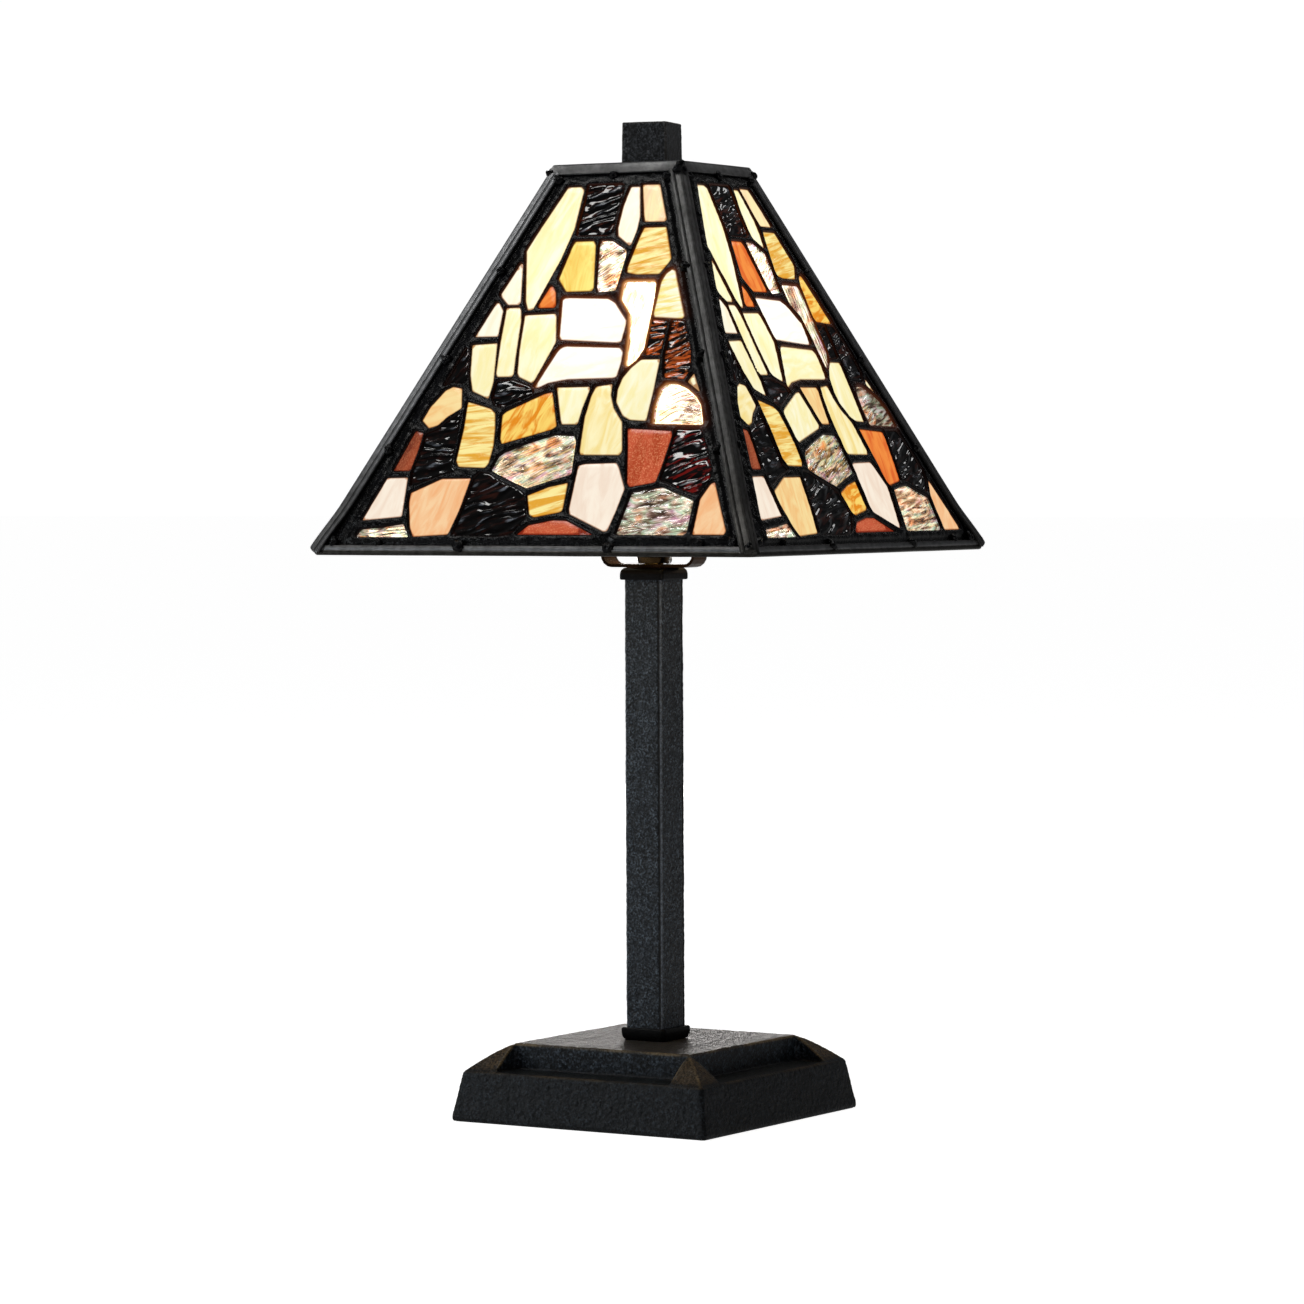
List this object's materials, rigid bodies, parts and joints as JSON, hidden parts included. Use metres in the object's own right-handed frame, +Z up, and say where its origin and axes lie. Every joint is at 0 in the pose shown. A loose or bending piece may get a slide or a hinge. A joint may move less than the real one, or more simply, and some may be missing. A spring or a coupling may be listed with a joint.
{
  "type": "table lamp",
  "caption": "Table lamp with a stepped square base, square metal stem and a lit square pyramid shade of leaded mosaic art glass, held on a harp by a square finial.",
  "frame": {"origin": "middle of the underside of the felt pad, on the surface the lamp stands on", "axes": "+Z up along the stem; -Y is the front face of the base and shade, +X its right side; the switch knob points to -Y and the cord bushing is at the back, +Y"},
  "size_m": [0.2628, 0.2628, 0.5075],
  "materials": {
    "hammered_metal": "blue-grey black hammered paint with brown rub on the edges",
    "felt": "dark felt",
    "black_plastic": "moulded, matte",
    "steel": "zinc plated",
    "brass": "drawn, plain",
    "dark_bronze": "dark bronze, satin",
    "fibre": "pressed paper insulation",
    "bulb_glass": "frosted inside, lit warm",
    "art_glass": "opal, amber, peach, russet, black and clear rippled art glass",
    "solder": "black patina, glossy raised beads",
    "came_metal": "dark grey patina, satin"
  },
  "bodies": {
    "root": {"base_casting": "hammered_metal", "felt_pad": "felt", "cord_bushing": "black_plastic", "lamp_pipe": "brass", "base_lock_washer": "steel", "base_nut": "steel", "lower_collar": "hammered_metal", "stem_tube": "hammered_metal", "upper_collar": "hammered_metal", "harp_saddle": "dark_bronze", "harp_wire": "brass", "socket_cap": "brass", "socket_set_screw": "steel", "socket_shell": "brass", "socket_liner": "fibre", "socket_body": "black_plastic", "screw_shell": "brass", "centre_contact": "brass", "terminal_screw_live": "brass", "terminal_screw_neutral": "steel"},
    "ferrule_left_body": {"ferrule_left": "brass"},
    "ferrule_right_body": {"ferrule_right": "brass"},
    "switch": {"switch_shaft": "brass", "switch_knob": "black_plastic"},
    "bulb": {"bulb_glass": "bulb_glass", "bulb_base": "brass", "bulb_tip_contact": "steel", "bulb_mount": "bulb_glass", "bulb_filament": "steel"},
    "shade": {"panel_front_glass": "art_glass", "panel_front_solder": "solder", "panel_right_glass": "art_glass", "panel_right_solder": "solder", "panel_back_glass": "art_glass", "panel_back_solder": "solder", "panel_left_glass": "art_glass", "panel_left_solder": "solder", "foot_came_front": "came_metal", "head_came_front": "came_metal", "corner_came_front": "came_metal", "foot_came_right": "came_metal", "head_came_right": "came_metal", "corner_came_right": "came_metal", "foot_came_back": "came_metal", "head_came_back": "came_metal", "corner_came_back": "came_metal", "foot_came_left": "came_metal", "head_came_left": "came_metal", "corner_came_left": "came_metal", "shade_cap_plate": "came_metal", "harp_stud": "brass"},
    "finial": {"finial_block": "hammered_metal", "finial_insert": "brass"}
  },
  "joints": [
    {"name": "shade_swivel", "type": "hinge", "parent": "root", "child": "shade", "pos_m": [0, 0, 0.478], "axis": [0, 0, 1], "continuous": true},
    {"name": "finial_turn", "type": "hinge", "parent": "shade", "child": "finial", "pos_m": [0, 0, 0.49], "axis": [0, 0, 1], "continuous": true},
    {"name": "bulb_turn", "type": "hinge", "parent": "root", "child": "bulb", "pos_m": [0, 0, 0.33], "axis": [0, 0, 1], "continuous": true},
    {"name": "switch_turn", "type": "hinge", "parent": "root", "child": "switch", "pos_m": [0, -0.02, 0.308], "axis": [0, -1, 0], "continuous": true},
    {"name": "ferrule_left_slide", "type": "slide", "parent": "root", "child": "ferrule_left_body", "axis": [0, 0, 1], "range_m": [0, 0.012]},
    {"name": "ferrule_right_slide", "type": "slide", "parent": "root", "child": "ferrule_right_body", "axis": [0, 0, 1], "range_m": [0, 0.012]}
  ]
}
